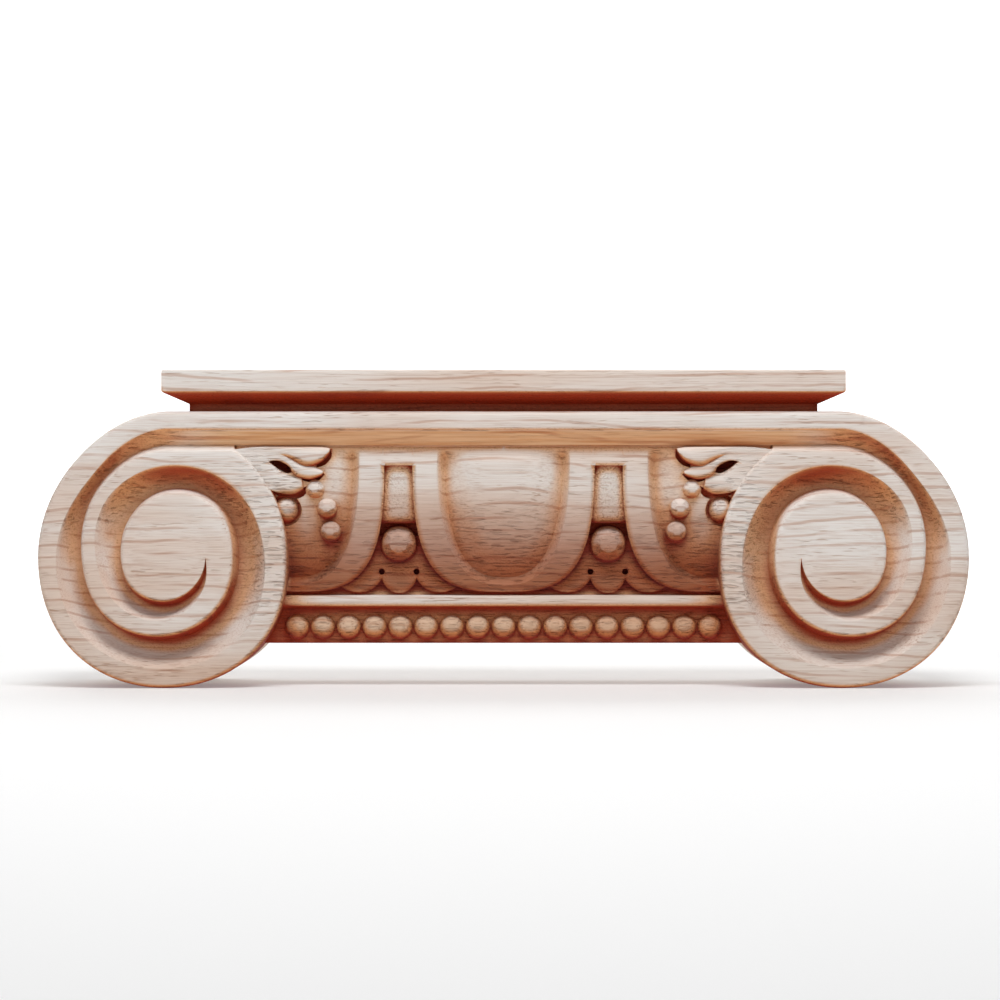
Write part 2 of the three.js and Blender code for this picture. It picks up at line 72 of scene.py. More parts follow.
floor_level = cad_box[0][2]
bpy.ops.object.select_all(action="DESELECT")
bpy.ops.mesh.primitive_plane_add(size=FLOOR_SIZE, location=(0, FLOOR_MIDDLE_Y, floor_level))
floor = bpy.context.object
floor.name = "studio_floor"
bpy.ops.object.mode_set(mode="EDIT")
bpy.ops.mesh.select_all(action="DESELECT")
bpy.ops.object.mode_set(mode="OBJECT")
for edge in floor.data.edges:
    edge.select = all(floor.data.vertices[v].co.y > 0 for v in edge.vertices)
bpy.ops.object.mode_set(mode="EDIT")
bpy.ops.mesh.select_mode(type="EDGE")
bpy.ops.mesh.extrude_region_move(TRANSFORM_OT_translate={"value": (0, FLOOR_RUN_BEHIND, 0)})
bpy.ops.mesh.extrude_region_move(TRANSFORM_OT_translate={"value": (0, 0, BACKDROP_HEIGHT)})
bpy.ops.object.mode_set(mode="OBJECT")


class Tone:
    """A value, colour or place over a surface, as the output of a shader node."""

    def __init__(self, tree, socket=None):
        self.tree, self.socket = tree, socket

    def node(self, kind, settings, inputs, output=0):
        made = self.tree.nodes.new(kind)
        for name, setting in settings.items():
            setattr(made, name, setting)
        for name, value in inputs.items():
            if isinstance(value, Tone):
                self.tree.links.new(value.socket, made.inputs[name])
            else:
                made.inputs[name].default_value = value
        return Tone(self.tree, made.outputs[output])

    def calculate(self, operation, first, second=0):
        return self.node("ShaderNodeMath", {"operation": operation}, {0: first, 1: second})

    def __add__(self, other):
        return self.calculate("ADD", self, other)

    def __sub__(self, other):
        return self.calculate("SUBTRACT", self, other)

    def __rsub__(self, other):
        return self.calculate("SUBTRACT", other, self)

    def __mul__(self, other):
        return self.calculate("MULTIPLY", self, other)

    def __abs__(self):
        return self.calculate("ABSOLUTE", self)

    __radd__ = __add__
    __rmul__ = __mul__

    def wave(self):
        return self.calculate("SINE", self)

    def or_more(self, other):
        return self.calculate("MAXIMUM", self, other)

    def axes(self):
        split = self.node("ShaderNodeSeparateXYZ", {}, {0: self}).socket.node
        return [Tone(self.tree, split.outputs[axis]) for axis in "XYZ"]

    def ramp(self, low, high):
        """0 below low, 1 above high and smooth between them."""
        settings = {"interpolation_type": "SMOOTHSTEP"}
        return self.node("ShaderNodeMapRange", settings, {0: self, 1: low, 2: high})

    def within(self, rise, fall):
        """1 from the end of the rise to the start of the fall, and 0 outside them."""
        return self.ramp(*rise) * (1 - self.ramp(*fall))

    def stretched(self, x, y, z):
        return self.node("ShaderNodeMapping", {}, {"Vector": self, "Scale": (x, y, z)})

    def noise(self, detail=2, roughness=0.5):
        inputs = {"Vector": self, "Scale": 1, "Detail": detail, "Roughness": roughness}
        return self.node("ShaderNodeTexNoise", {}, inputs)

    def blend(self, first, second):
        """The first colour where the value is 0 and the second where it is 1."""
        return self.node("ShaderNodeMix", {"data_type": "RGBA"}, {0: self, 6: first, 7: second}, 2)

    def stained(self, stain, mask):
        """A colour with a thin stain over it where the mask is 1."""
        settings = {"data_type": "RGBA", "blend_type": "MULTIPLY"}
        return self.node("ShaderNodeMix", settings, {0: mask, 6: self, 7: (*stain, 1)}, 2)


sweep = bpy.data.materials.new("pale_sweep")
sweep.use_nodes = True
shader = sweep.node_tree.nodes["Principled BSDF"]
shader.inputs["Base Color"].default_value = (0.7, 0.7, 0.7, 1)
shader.inputs["Roughness"].default_value = 0.9
shader.inputs["Emission Strength"].default_value = 1
floor_place = Tone(sweep.node_tree).node("ShaderNodeTexCoord", {}, {}, "Object")
behind = floor_place.axes()[1]
glow = behind.ramp(*BRIGHTER_BEHIND).blend(FLOOR_GLOW, BACKDROP_GLOW)
sweep.node_tree.links.new(glow.socket, shader.inputs["Emission Color"])
floor.data.materials.append(sweep)


def soft_light(name, size, power, place, aim):
    bpy.ops.object.light_add(type="AREA", location=place)
    lamp = bpy.context.object
    lamp.name = name
    lamp.data.shape = "RECTANGLE"
    lamp.data.size, lamp.data.size_y = size
    lamp.data.energy = power
    lamp.rotation_euler = (Vector(aim) - Vector(place)).to_track_quat("-Z", "Y").to_euler()


soft_light("overhead_box", (0.28, 0.14), 1.5, (0, -0.17, 0.44), (0, 0, 0.02))
soft_light("front_fill", (1.6, 1.2), 1.0, (0, -1.6, 0.25), (0, 0, 0.02))
soft_light("sweep_box", (3, 1.2), 22, (0, 0.9, 1.3), (0, 1.5, 0))

world = bpy.data.worlds.new("studio_air")
world.use_nodes = True
world.node_tree.nodes["Background"].inputs["Color"].default_value = (1, 1, 1, 1)
world.node_tree.nodes["Background"].inputs["Strength"].default_value = 0.2
bpy.context.scene.world = world
bpy.context.scene.view_settings.view_transform = "Standard"

bpy.ops.object.camera_add(
    location=(0, SCALED_PLANE_Y - CAMERA_DISTANCE, CAMERA_HEIGHT), rotation=(math.pi / 2, 0, 0)
)
camera = bpy.context.object
camera.name = "camera"
camera.data.sensor_width = SENSOR_WIDTH
camera.data.lens = SENSOR_WIDTH * CAMERA_DISTANCE / (PHOTO_PIXELS * PHOTO_SCALE)
camera.data.shift_x = -0.0035
camera.data.clip_start = 0.01
bpy.context.scene.camera = camera


# Scroll. One band runs along the top and winds down into a volute at each end: a rounded ridge
# with a hollow channel inside it that narrows and dies out beside a slightly domed eye.
WALL = 9.5
WIDTH = 212
BURIED = 12
VOLUTE_CENTRE_Z = 20.1
VOLUTE_SQUEEZE = 0.973
RIDGE_DEPTH = 27
RIDGE_ROUND = 1.2
RIDGE_CROWN = 0.02
CHANNEL_DEPTH = 22.6
BAND_CHANNEL_DEPTH = 24.6
OUTER_WALL_FOOT = 15
WALL_DRAFT = 0.8
BRINK_WEAR = 0.05
CHANNEL_STEEPNESS = (1.1, 2.2)
EYE_DEPTH = 27.6
EYE_DOME = 0.45
DOME_SHARE = 0.85
TIP_RADIUS = 9.6
LEVEL_EDGE = 24.6
LEVEL_REACH = math.tau / 6
OUTER_TURN = [33.1, 30.3, 29.8, 30.5, 29.9, 30.2, 28.6, 29.3, 29.8]
INNER_TURNS = [24.6, 22.0, 19.6, 19.6, 18.3, 17.2, 16.1, 16.4, 14.6, 11.8, 10.3, 10.7, 10.4, 9.8]
INNER_TURNS.append(TIP_RADIUS)
INNER_EDGE = [29.0, 24.8, 25.2, 26.0, 25.2, 25.2, 23.2, 22.3, 20.4, 18.6, 15.9, 15.3, 14.3, 12.0]
INNER_EDGE.append(TIP_RADIUS)
PER_EIGHTH = 15
FULL = 8 * PER_EIGHTH
EYE_STATION = 14 * PER_EIGHTH
TIP_STATION = 22 * PER_EIGHTH
ROUNDING_STEPS = 6
CHANNEL_STEPS = 12
EYE_STEPS = 10
BAND_STEP = 1.5


def mix(a, b, t):
    return a + (b - a) * t


def smooth(t):
    t = min(max(t, 0), 1)
    return t * t * (3 - 2 * t)


def curve_through(values, place):
    last = len(values) - 1
    i = min(max(math.floor(place), 0), last - 1)
    before, here, after, beyond = (values[min(max(i + k, 0), last)] for k in (-1, 0, 1, 2))
    t = place - i
    start_slope, end_slope = (after - before) / 2, (beyond - here) / 2
    start = (2 * t**3 - 3 * t**2 + 1) * here + (t**3 - 2 * t**2 + t) * start_slope
    return start + (3 * t**2 - 2 * t**3) * after + (t**3 - t**2) * end_slope


def short_of_full(station):
    return (FULL - station) / FULL * math.tau


def edge_radius(station):
    eighths = station / PER_EIGHTH
    if station >= FULL:
        return curve_through(INNER_TURNS, eighths - 8)
    round_edge = curve_through(OUTER_TURN, eighths)
    short = short_of_full(station)
    if short < LEVEL_REACH:
        return min(round_edge, LEVEL_EDGE / math.cos(short))
    return round_edge


VOLUTE_CENTRE_X = -WIDTH / 2 + edge_radius(2 * PER_EIGHTH) * VOLUTE_SQUEEZE


def on_volute(station, radius, depth, lift=0):
    angle = station / FULL * math.tau
    x = VOLUTE_CENTRE_X - radius * math.sin(angle) * VOLUTE_SQUEEZE
    return (x, depth, VOLUTE_CENTRE_Z + radius * math.cos(angle) + lift)


def is_level(station):
    short = short_of_full(station)
    reach = edge_radius(station) * math.cos(short)
    return 0 < short < LEVEL_REACH and reach > LEVEL_EDGE - 1e-6


def ridge_depth(station):
    return mix(RIDGE_DEPTH, EYE_DEPTH, smooth((station - FULL) / (EYE_STATION - FULL)))


def channel_depth(station):
    if station < FULL:
        return mix(BAND_CHANNEL_DEPTH, CHANNEL_DEPTH, smooth(station / PER_EIGHTH / 2))
    spent = min((station - FULL) / (EYE_STATION - FULL), 1)
    return mix(CHANNEL_DEPTH, ridge_depth(station + FULL), spent**2.5)


def wall_foot(station):
    radius = edge_radius(station)
    draft = WALL_DRAFT * min(1, (TIP_STATION - station) / PER_EIGHTH)
    if station >= FULL:
        return on_volute(station, radius + draft, channel_depth(station - FULL))
    if is_level(station):
        return on_volute(station, radius, BAND_CHANNEL_DEPTH, draft)
    return on_volute(station, radius, OUTER_WALL_FOOT)


def ridge_rows(station, rounding, inner):
    """From the foot of the ridge's outer wall, over its rounded edge, across to its inner edge."""
    radius, top = edge_radius(station), ridge_depth(station)
    foot = wall_foot(station)
    edge = on_volute(station, radius, top - rounding)
    rows = [tuple(mix(a, b, t) for a, b in zip(foot, edge)) for t in (0, 0.25, 0.5, 0.75)]
    for step in range(ROUNDING_STEPS + 1):
        lean = step / ROUNDING_STEPS * math.pi / 2
        across = radius - rounding * (1 - math.cos(lean))
        rows.append(on_volute(station, across, top - rounding * (1 - math.sin(lean))))
    start = radius - rounding
    crown = RIDGE_CROWN * (start - inner)
    for t in (0.25, 0.5, 0.75):
        raised = top + crown * math.sin(t * math.pi)
        rows.append(on_volute(station, mix(start, inner, t), raised))
    return rows


def channel_column(station):
    inner = curve_through(INNER_EDGE, station / PER_EIGHTH)
    foot, top = wall_foot(station + FULL), ridge_depth(station)
    worn = BRINK_WEAR * (top - foot[1])
    brink = on_volute(station, inner, top - worn)
    lead = on_volute(station, inner + worn, top)
    rows = ridge_rows(station, RIDGE_ROUND, inner + worn) + [lead]
    steepness = mix(*CHANNEL_STEEPNESS, smooth(station / PER_EIGHTH))
    for step in range(CHANNEL_STEPS + 1):
        t = step / CHANNEL_STEPS
        fall = 1 - (1 - t) ** steepness
        x, z = mix(brink[0], foot[0], t), mix(brink[2], foot[2], t)
        rows.append((x, mix(brink[1], foot[1], fall), z))
    return rows


def eye_column(station):
    along_tip = (station - EYE_STATION) / (TIP_STATION - EYE_STATION)
    rim = TIP_RADIUS - math.sin(along_tip * math.pi)
    rounding = min(RIDGE_ROUND, 0.6 * (edge_radius(station) - rim))
    rows = ridge_rows(station, rounding, rim) + [on_volute(station, rim, EYE_DEPTH)]
    for step in range(1, EYE_STEPS + 1):
        r = DOME_SHARE * TIP_RADIUS * (1 - step / EYE_STEPS)
        rise = EYE_DOME * (1 - (r / TIP_RADIUS) ** 2)
        rows.append(on_volute(station % FULL, r, EYE_DEPTH + rise))
    return rows


def mirrored(columns):
    return [[(-x, depth, z) for x, depth, z in column] for column in reversed(columns)]


def carve(name, grids, base=BURIED):
    """Lays flat grids over a carved surface of (x, depth, z) points and closes them behind."""
    bpy.ops.object.select_all(action="DESELECT")
    sheets = []
    for columns in grids:
        wide, high = len(columns), len(columns[0])
        bpy.ops.mesh.primitive_grid_add(x_subdivisions=wide - 1, y_subdivisions=high - 1, size=1)
        mesh = bpy.context.object.data
        flat = np.empty(len(mesh.vertices) * 3)
        mesh.vertices.foreach_get("co", flat)
        flat = flat.reshape(-1, 3).round(6)
        shaped = np.array(columns, dtype=float).reshape(-1, 3)
        placed = np.empty_like(flat)
        order = np.lexsort((flat[:, 1], flat[:, 0]))
        placed[order] = np.column_stack((shaped[:, 0], WALL - shaped[:, 1], shaped[:, 2])) / 1000
        mesh.vertices.foreach_set("co", placed.ravel())
        sheets.append(bpy.context.object)
    for sheet in sheets:
        sheet.select_set(True)
    if len(sheets) > 1:
        bpy.ops.object.join()
    solid = bpy.context.object
    solid.name = name
    bpy.ops.object.mode_set(mode="EDIT")
    bpy.ops.mesh.select_mode(type="EDGE")
    bpy.ops.mesh.select_all(action="SELECT")
    bpy.ops.mesh.remove_doubles(threshold=1e-6)
    bpy.ops.mesh.select_all(action="DESELECT")
    bpy.ops.mesh.select_non_manifold(
        extend=False, use_wire=False, use_multi_face=False, use_non_contiguous=False, use_verts=False
    )
    bpy.ops.mesh.extrude_region_move()
    wall_y = (WALL - base) / 1000
    bpy.ops.transform.resize(value=(1, 0, 1), center_override=(0, wall_y, 0))
    bpy.ops.mesh.edge_face_add()
    bpy.ops.mesh.select_all(action="SELECT")
    bpy.ops.mesh.normals_make_consistent(inside=False)
    bpy.ops.object.mode_set(mode="OBJECT")
    return solid


eye = [eye_column(station) for station in range(TIP_STATION, EYE_STATION - 1, -1)]
tip = on_volute(EYE_STATION, TIP_RADIUS, EYE_DEPTH)
winding = [ridge_rows(EYE_STATION, RIDGE_ROUND, TIP_RADIUS) + [tip] * (CHANNEL_STEPS + 2)]
winding += [channel_column(station) for station in range(EYE_STATION - 1, -1, -1)]
band = channel_column(0)
below = [wall_foot(station)[0] for station in range(FULL - 1, 0, -1) if is_level(station)]
along_band = [*below, *np.arange(math.ceil(below[-1]) + 1, 0, BAND_STEP), 0]
winding += [[(x, depth, z) for _, depth, z in band] for x in along_band]
scroll = carve("scroll", [eye, winding + mirrored(winding[:-1]), mirrored(eye)], base=0)


# Abacus. A square fillet over a bevel and a short neck, returned at both ends. It is cut in the
# same block, and its flat top carries the cornice.
ABACUS_TOP = 62.5
ABACUS_WIDTH = 155.2
ABACUS_DEPTH = 28
ABACUS_FILLET = 4.9
ABACUS_LIP = 0.25
BEVEL_DROP = 2.6
BEVEL_SETBACK = 5.6
NECK_FOOT = 51.5
SIDE_STEPS = 12
FRONT_COLUMNS = 120
half = ABACUS_WIDTH / 2
fillet_foot = ABACUS_TOP - ABACUS_FILLET
courses = [
    (NECK_FOOT, BEVEL_SETBACK),
    (fillet_foot - BEVEL_DROP, BEVEL_SETBACK),
    (fillet_foot - 0.3, 0.5),
    (fillet_foot, ABACUS_LIP * 0.3),
    (fillet_foot + ABACUS_LIP, 0),
    (ABACUS_TOP - ABACUS_LIP, 0),
    (ABACUS_TOP - ABACUS_LIP * 0.3, ABACUS_LIP * 0.3),
    (ABACUS_TOP, ABACUS_LIP),
]
side_return = []
for step in range(1, SIDE_STEPS):
    depth = ABACUS_DEPTH * step / SIDE_STEPS
    side_return.append([(inset - half, min(depth, ABACUS_DEPTH - inset), z) for z, inset in courses])
slab_front = []
for x in np.linspace(-half, half, FRONT_COLUMNS):
    slab_front.append([(x / half * (half - inset), ABACUS_DEPTH - inset, z) for z, inset in courses])


def finer(columns, steps):
    """Adds points along each column so that the carving is fine enough to shade."""
    filled = []
    for column in columns:
        line = [column[0]]
        for a, b, count in zip(column, column[1:], steps):
            line += [tuple(mix(p, q, k / count) for p, q in zip(a, b)) for k in range(1, count + 1)]
        filled.append(line)
    return filled


abacus_columns = [*side_return, *slab_front, *mirrored(side_return)]
abacus = carve("abacus", [finer(abacus_columns, (4, 4, 1, 1, 5, 1, 1))], base=0)


# Body. The block behind the carving: the ground of the bead course, the fillet over it, the ground
# behind the darts and the strip where the eggs meet the band.
SEAT_DEPTH = 19
BODY_HALF_WIDTH = 66
OVOLO_TOP = 44.8
GROUND_DEPTH = 19.8
SLOT_TOP = 40.9
FILLET_TOP = 11.1
FILLET_FOOT = 8.5
FILLET_DEPTH = 21.6
STRIP_DEPTH = CHANNEL_DEPTH - 0.4
profile = [
    (SEAT_DEPTH, 0),
    (SEAT_DEPTH, FILLET_FOOT - 0.7),
    (SEAT_DEPTH + 0.4, FILLET_FOOT - 0.3),
    (FILLET_DEPTH - 0.5, FILLET_FOOT),
    (FILLET_DEPTH - 0.1, FILLET_FOOT + 0.3),
    (FILLET_DEPTH, FILLET_FOOT + 0.8),
    (FILLET_DEPTH, FILLET_TOP - 0.8),
    (FILLET_DEPTH - 0.15, FILLET_TOP - 0.3),
    (FILLET_DEPTH - 0.6, FILLET_TOP),
    (GROUND_DEPTH, FILLET_TOP + 0.1),
    (GROUND_DEPTH, SLOT_TOP + 1),
    (STRIP_DEPTH, SLOT_TOP + 1),
    (STRIP_DEPTH, OVOLO_TOP + 2),
]
body_columns = []
for x in np.arange(-BODY_HALF_WIDTH, BODY_HALF_WIDTH + 0.5, 1):
    body_columns.append([(x, depth, z) for depth, z in profile])
body = carve("body", [finer(body_columns, (8, 1, 2, 1, 1, 2, 1, 1, 2, 30, 1, 4))], base=0)


# Field. What is carved between the volutes stops at the middle of each outer ridge, so that
# nothing shows inside the volutes' channels.
EGG_SPACING = 48
CLEAR_OF_FRONT = 38
RIDGE_MIDDLE = 2
corner_x = -EGG_SPACING - 13
edge_line = [(corner_x, ABACUS_TOP), (corner_x, OVOLO_TOP - 1.6)]
for station in range(FULL - PER_EIGHTH, round(4.8 * PER_EIGHTH), -3):
    x, _, z = on_volute(station, edge_radius(station) - RIDGE_MIDDLE, 0)
    edge_line.append((x, z))
edge_line.append((edge_line[-1][0], -20))
edge_cut = [[(x, CLEAR_OF_FRONT, z), (-x, CLEAR_OF_FRONT, z)] for x, z in edge_line]
field = carve("field", [edge_cut], base=-1)


# Eggs. Each egg hangs from the top of the ovolo in a bevelled rim, with a broad shell around it.
# The outer two are half covered by the volutes.
OVOLO_TOP_DEPTH = 25.4
OVOLO_FOOT_DEPTH = 21.3
OVOLO_FULLNESS = 0.85
OVOLO_TOP_ROLL = 0.8
SHELL_HALF_WIDTH = 20.8
SHELL_FOOT = 11.8
SHELL_WEAR = 0.25
EGG_RIM_HALF_WIDTH = 15.2
EGG_RIM_FOOT = 13.4
EGG_HALF_WIDTH = 13.5
EGG_FOOT = 15.2
EGG_GROOVE = 2.0
EGG_CROWN = 0.4
EGG_FALL = 3.2
SHELL_SQUARENESS = 3.2
EGG_SQUARENESS = 2.6
EGG_STEPS = 24
RIM_STEPS = 6
SHELL_STEPS = 10
TUCK_DEPTH = BAND_CHANNEL_DEPTH - 1
TUCK_Z = OVOLO_TOP + 1.2


def ovolo_depth(z):
    up = min(max((z - SHELL_FOOT) / (OVOLO_TOP - SHELL_FOOT), 0), 1)
    fullness = math.sin(up * math.pi / 2) ** OVOLO_FULLNESS
    swell = mix(OVOLO_FOOT_DEPTH, OVOLO_TOP_DEPTH, fullness)
    return swell - OVOLO_TOP_ROLL * smooth((z - OVOLO_TOP + 3.5) / 3.5)


def egg_rings():
    """Half width, foot, squareness and height over the ovolo, from the egg's middle outwards."""
    rings = []
    for step in range(1, EGG_STEPS + 1):
        t = step / EGG_STEPS
        raised = EGG_CROWN - (EGG_CROWN + EGG_GROOVE) * t**EGG_FALL
        rings.append((EGG_HALF_WIDTH * t, mix(OVOLO_TOP, EGG_FOOT, t), EGG_SQUARENESS, raised))
    for step in range(1, RIM_STEPS + 1):
        t = step / RIM_STEPS
        half_width = mix(EGG_HALF_WIDTH + 0.2, EGG_RIM_HALF_WIDTH, t)
        foot = mix(EGG_FOOT - 0.15, EGG_RIM_FOOT, t)
        rings.append((half_width, foot, EGG_SQUARENESS, -EGG_GROOVE * (1 - t)))
    for step in range(1, SHELL_STEPS + 1):
        t = step / SHELL_STEPS
        half_width = mix(EGG_RIM_HALF_WIDTH, SHELL_HALF_WIDTH, t)
        squareness = mix(EGG_SQUARENESS, SHELL_SQUARENESS, t)
        worn = -SHELL_WEAR if step == SHELL_STEPS else 0
        rings.append((half_width, mix(EGG_RIM_FOOT, SHELL_FOOT, t), squareness, worn))
    return rings


def egg_columns(centre_x, around=80):
    columns = []
    for i in range(around + 1):
        angle = math.pi / 2 * (1 - abs(2 * i / around - 1)) ** 1.5
        across = math.copysign(math.cos(angle), around / 2 - i)
        down = math.sin(angle)
        column = [(centre_x, ovolo_depth(OVOLO_TOP), OVOLO_TOP)]
        for half_width, foot, squareness, raised in egg_rings():
            power = 2 / squareness
            x = centre_x + half_width * math.copysign(abs(across) ** power, across)
            z = OVOLO_TOP - (OVOLO_TOP - foot) * down**power
            if half_width == SHELL_HALF_WIDTH:
                raised *= smooth((SLOT_TOP - z) / 2)
            column.append((x, ovolo_depth(z) + raised * smooth((OVOLO_TOP - z) / 3), z))
        columns.append(column)
    tucked = [[(x, TUCK_DEPTH, TUCK_Z) for x, _, _ in columns[end]] for end in (0, -1)]
    return [tucked[0], *columns, tucked[1]]


eggs = [carve(f"egg_{k}", [egg_columns(k * EGG_SPACING)]) for k in (-1, 0, 1)]


# Darts. In each gap between two shells a stippled shaft stands in a slot, with a faceted ball
# below it and a small foot of three lobes that is drilled at its two notches.
SHAFT_FOOT = 27.7
SHAFT_TOP_HALF = 3.4
SHAFT_FOOT_HALF = 4.1
SHAFT_SUNK = 0.4
SHAFT_EDGE_DROP = 0.9
SHAFT_END = 0.8
SHAFT_END_DROP = 0.9
BALL_RADIUS = 4.3
BALL_FACET = 1.9
BALL_CENTRE_Z = 22.9
BALL_CENTRE_DEPTH = 20.4
PARED_REACH = 0.93
PARED_LEAN = 0.78
FOOT_DEPTH = 21.0
FOOT_BOTTOM = 11.6
FOOT_EDGE_DROP = 0.25
FOOT_ROWS = 15
CUSP_X = 4.0
CUSP_Z = 14.8
DRILL_RADIUS = 0.7
DRILL_LENGTH = 12
DRILL_Z = 16.5
DRILL_DEPTH = 18.8


def shaft_columns(centre_x):
    columns = []
    levels = [SLOT_TOP + 0.5, *np.linspace(SLOT_TOP, SHAFT_FOOT + SHAFT_END, 14)]
    levels += [SHAFT_FOOT + 0.3, SHAFT_FOOT]
    for across in np.linspace(-1, 1, 13):
        column = []
        for z in levels:
            up = (z - SHAFT_FOOT) / (SLOT_TOP - SHAFT_FOOT)
            half_width = mix(SHAFT_FOOT_HALF, SHAFT_TOP_HALF, up)
            end = SHAFT_END_DROP * max(0, 1 - (z - SHAFT_FOOT) / SHAFT_END) ** 2
            depth = ovolo_depth(z) - SHAFT_SUNK - SHAFT_EDGE_DROP * abs(across) ** 2.5 - end
            column.append((centre_x + across * half_width, depth, z))
        columns.append(column)
    return columns


def strip_columns(centre_x):
    strip_half = EGG_SPACING / 2 - SHELL_HALF_WIDTH + 0.7
    levels = [(TUCK_DEPTH, TUCK_Z)]
    levels += [(ovolo_depth(z), z) for z in np.linspace(OVOLO_TOP, SLOT_TOP, 7)]
    offsets = np.linspace(-strip_half, strip_half, 9)
    return [[(centre_x + x, depth, z) for depth, z in levels] for x in offsets]


def ball_columns(centre_x, centre_z, centre_depth, radius, facet, around=32, rings=9, sides=0):
    """A round boss, flattened in front to the facet's radius and pared to some sides round it."""
    columns = []
    for i in range(around + 1):
        turn = i / around * math.tau
        column = [(centre_x, centre_depth + math.sqrt(radius**2 - facet**2), centre_z)]
        start = math.asin(facet / radius)
        for step in range(rings + 1):
            lean = mix(start, math.pi / 2, step / rings)
            if lean == 0:
                continue
            out, rise = radius * math.sin(lean), radius * math.cos(lean)
            for side in range(sides):
                level = out * math.cos(turn - (side + 0.5) / sides * math.tau)
                pared = PARED_REACH * radius - level * math.sin(PARED_LEAN)
                rise = min(rise, pared / math.cos(PARED_LEAN))
            place = (centre_x + out * math.cos(turn), centre_depth + rise)
            column.append((*place, centre_z + out * math.sin(turn)))
        columns.append(column)
    return columns


def foot_columns(centre_x):
    right_edge = [
        (1.0, 0.1), (1.9, 0.45), (2.7, 1.05), (3.4, 1.9), (CUSP_X, CUSP_Z - FOOT_BOTTOM), (4.6, 2.4),
        (5.4, 1.5), (6.4, 0.75), (7.6, 0.3), (9.2, 0.1), (10.6, 0.2), (12.2, 0.7), (13.6, 1.6),
    ]
    lower_edge = [*((-x, z) for x, z in reversed(right_edge)), (0, 0), *right_edge]
    rises = [0, *np.linspace(0.05, 1, FOOT_ROWS)]
    depths = [FOOT_DEPTH - FOOT_EDGE_DROP] + [FOOT_DEPTH] * FOOT_ROWS
    columns = []
    for x, z in lower_edge:
        top = np.interp(abs(x), (5.2, 6.4, 8.6, 10.6, 13.6), (13.2, 10.4, 6.9, 4.4, 1.8))
        heights = [mix(FOOT_BOTTOM + z, FOOT_BOTTOM + top, t) for t in rises]
        columns.append([(centre_x + x, depth, height) for depth, height in zip(depths, heights)])
    return columns


darts, drills = [], []
for k in (-0.5, 0.5):
    centre_x = k * EGG_SPACING
    darts.append(carve("dart_shaft", [shaft_columns(centre_x)]))
    darts.append(carve("dart_strip", [strip_columns(centre_x)]))
    ball_place = (centre_x, BALL_CENTRE_Z, BALL_CENTRE_DEPTH)
    ball = ball_columns(*ball_place, BALL_RADIUS, BALL_FACET, around=48, rings=14, sides=8)
    darts.append(carve("dart_ball", [ball]))
    darts.append(carve("dart_foot", [foot_columns(centre_x)]))
    for x in (centre_x - CUSP_X, centre_x + CUSP_X):
        bpy.ops.object.select_all(action="DESELECT")
        bpy.ops.mesh.primitive_cylinder_add(
            vertices=20,
            radius=DRILL_RADIUS / 1000,
            depth=DRILL_LENGTH / 1000,
            location=(x / 1000, (WALL - DRILL_DEPTH - DRILL_LENGTH / 2) / 1000, DRILL_Z / 1000),
            rotation=(math.pi / 2, 0, 0),
        )
        bpy.ops.object.transform_apply(location=True, rotation=True, scale=True)
        drills.append(bpy.context.object)


# Leaves. From the corner of each volute three petals curl over the outer egg around a deep eyelet,
# with a string of three berries and a bud tucked against the scroll.
LEAF_DEPTH = 26.9
LEAF_ROOT_DEPTH = 26.3
BERRY_RADIUS = 2.35
BERRY_FACET = 0.7
BERRY_CENTRE_DEPTH = 24.1
BUD_RADIUS = 3.1
BUD_CENTRE_DEPTH = 22.7
BUD_GROOVE = 0.55
GOUGE_DEPTH = 23.6
EYELET_DEPTH = 20.5
BUD_X = -1.7
BUD_Z = -14.1
ACROSS_PETAL = (0, 0.03, 0.08, 0.15, 0.25, 0.37, 0.5, 0.63, 0.75, 0.85, 0.92, 0.97, 1)


def along(points, steps):
    """A smooth line through a petal's edge points."""
    places = np.linspace(0, len(points) - 1, steps)
    return [tuple(curve_through([p[axis] for p in points], t) for axis in (0, 1)) for t in places]


def petal_columns(upper, lower, tip_depth, drop, steps=44):
    columns = []
    edges = zip(along(upper, steps), along(lower, steps))
    for i, ((up_x, up_z), (low_x, low_z)) in enumerate(edges):
        free = smooth(2.5 * i / (steps - 1) - 0.75)
        column = []
        for across in ACROSS_PETAL:
            worn = drop * free * abs(2 * across - 1) ** 3
            x = mix(up_x, low_x, across) - EGG_SPACING
            depth = mix(LEAF_ROOT_DEPTH, tip_depth, free) - worn
            column.append((x, depth, mix(up_z, low_z, across) + OVOLO_TOP))
        columns.append(column)
    return columns


def sunk_columns(first, second, steps=14):
    """A cut between two edges on the egg, to be carved down to its floor."""
    columns = []
    for pair in zip(along(first, steps), along(second, steps)):
        columns.append([(x - EGG_SPACING, CLEAR_OF_FRONT, z + OVOLO_TOP) for x, z in pair])
    return columns


def both_sides(name, columns, base=BURIED):
    return [carve(name, [shape], base) for shape in (columns, mirrored(columns))]


